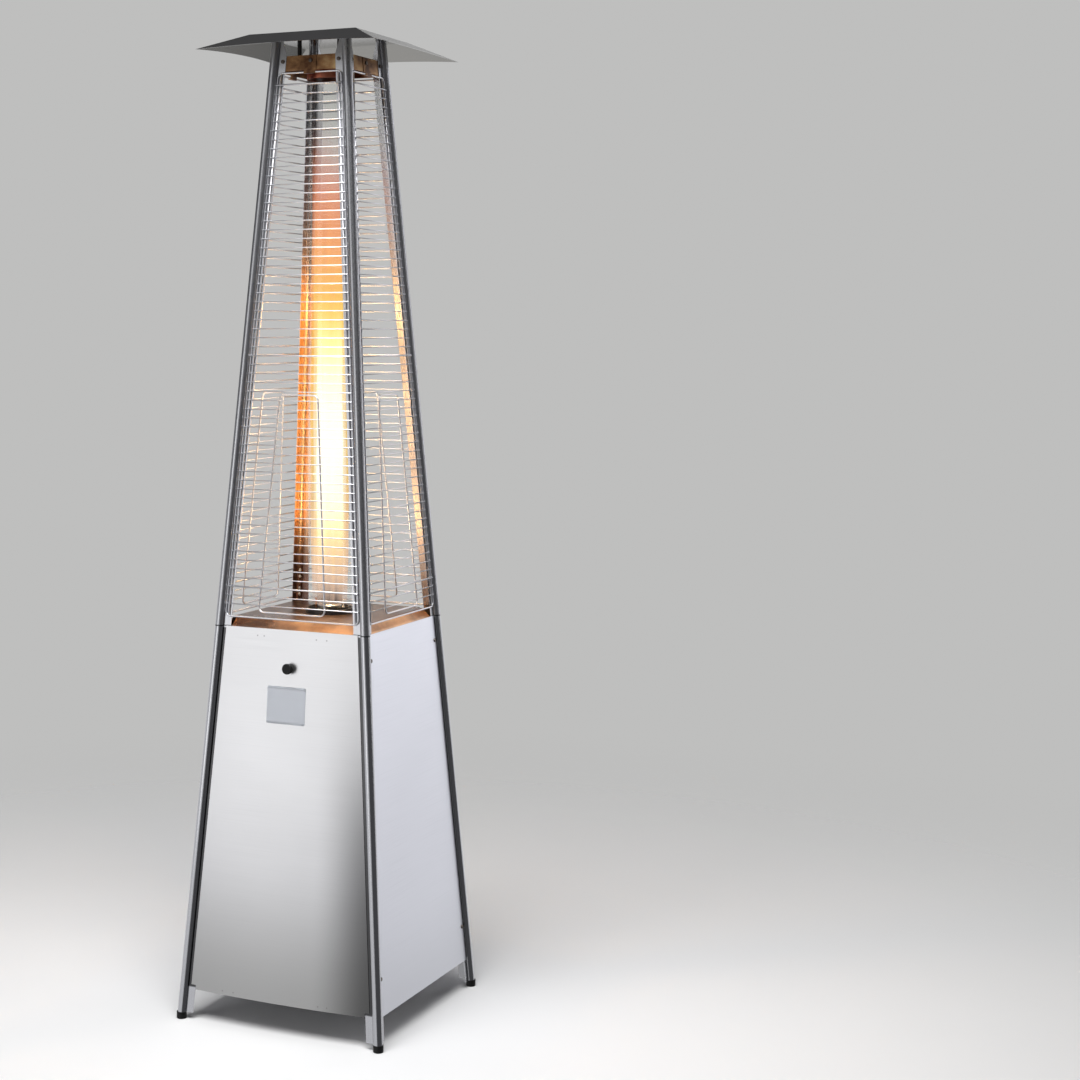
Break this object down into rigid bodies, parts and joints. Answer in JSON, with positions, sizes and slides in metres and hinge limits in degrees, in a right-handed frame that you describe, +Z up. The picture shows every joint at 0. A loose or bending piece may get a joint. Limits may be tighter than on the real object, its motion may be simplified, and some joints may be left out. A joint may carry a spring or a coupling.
{
  "type": "outdoor gas heater",
  "caption": "Tall tapering gas heater: steel cabinet with a tilting front door, wire guards, a flame in a glass tube and a hood.",
  "frame": {"origin": "on the floor, in the middle of the four feet", "axes": "+Z up, the door faces -Y, +X to the right of someone who faces the door"},
  "size_m": [0.529, 0.529, 2.241],
  "materials": {
    "stainless_sheet": "brushed",
    "stainless_post": "satin",
    "guard_wire": "bright",
    "tinted_steel": "heat tinted satin",
    "zinc_steel": "zinc plated",
    "black_plastic": "matt",
    "black_steel": "satin",
    "grey_steel": "satin",
    "brass": "plain",
    "aluminium": "cast",
    "copper": "drawn",
    "magnet_black": "matt",
    "gasket_grey": "fibre",
    "ceramic_white": "glazed",
    "clear_glass": "clear"
  },
  "bodies": {
    "heater": {"lower_post_front_left": "stainless_post", "lower_post_front_right": "stainless_post", "lower_post_rear_left": "stainless_post", "lower_post_rear_right": "stainless_post", "upper_post_front_left": "stainless_post", "upper_post_front_right": "stainless_post", "upper_post_rear_left": "stainless_post", "upper_post_rear_right": "stainless_post", "foot_front_left": "black_plastic", "foot_front_right": "black_plastic", "foot_rear_left": "black_plastic", "foot_rear_right": "black_plastic", "panel_right": "stainless_sheet", "panel_rear": "stainless_sheet", "panel_left": "stainless_sheet", "hood": "stainless_sheet", "guard_front": "guard_wire", "guard_right": "guard_wire", "guard_rear": "guard_wire", "guard_left": "guard_wire", "post_splices": "zinc_steel", "guard_clips": "stainless_post", "panel_screws": "zinc_steel", "frame_screws": "zinc_steel", "magnet_catches": "magnet_black", "bottle_tray": "grey_steel", "door_rod": "zinc_steel", "deck_plate": "tinted_steel", "control_box": "zinc_steel", "gas_valve": "aluminium", "hose_tail": "brass", "gas_pipe": "copper", "injector": "brass", "mixer_tube": "zinc_steel", "burner_tray": "zinc_steel", "burner_head": "stainless_post", "burner_ring": "black_steel", "thermocouple": "copper", "ignition_electrode": "ceramic_white", "ignition_lead": "black_plastic", "igniter_body": "black_plastic", "tilt_switch": "black_plastic", "tube_seat": "black_steel", "glass_tube": "clear_glass", "tube_gasket": "gasket_grey", "tube_collar": "tinted_steel", "top_frame": "tinted_steel", "hood_studs": "black_steel", "hood_nuts": "zinc_steel"},
    "door": {"front_door": "stainless_sheet", "door_hooks": "zinc_steel", "door_strikes": "zinc_steel", "pull_knob": "black_plastic", "pull_knob_screw": "zinc_steel"},
    "valve_rotor": {"valve_plug": "brass"},
    "gas_knob": {"valve_spindle": "brass", "control_knob": "black_plastic"},
    "igniter_key": {"igniter_button": "black_plastic"}
  },
  "joints": [
    {"name": "door_tilt", "type": "hinge", "parent": "heater", "child": "door", "pos_m": [0, -0.24334, 0.076], "axis": [1, 0, 0], "range_deg": [0, 70]},
    {"name": "valve_turn", "type": "hinge", "parent": "heater", "child": "valve_rotor", "pos_m": [-0.045, -0.128, 0.8498], "axis": [0, -1, 0], "range_deg": [0, 180]},
    {"name": "knob_push", "type": "slide", "parent": "valve_rotor", "child": "gas_knob", "axis": [0, 1, 0], "range_m": [0, 0.005], "stiffness_N_per_m": 600},
    {"name": "igniter_press", "type": "slide", "parent": "heater", "child": "igniter_key", "axis": [0, 1, 0], "range_m": [0, 0.005], "stiffness_N_per_m": 800}
  ]
}
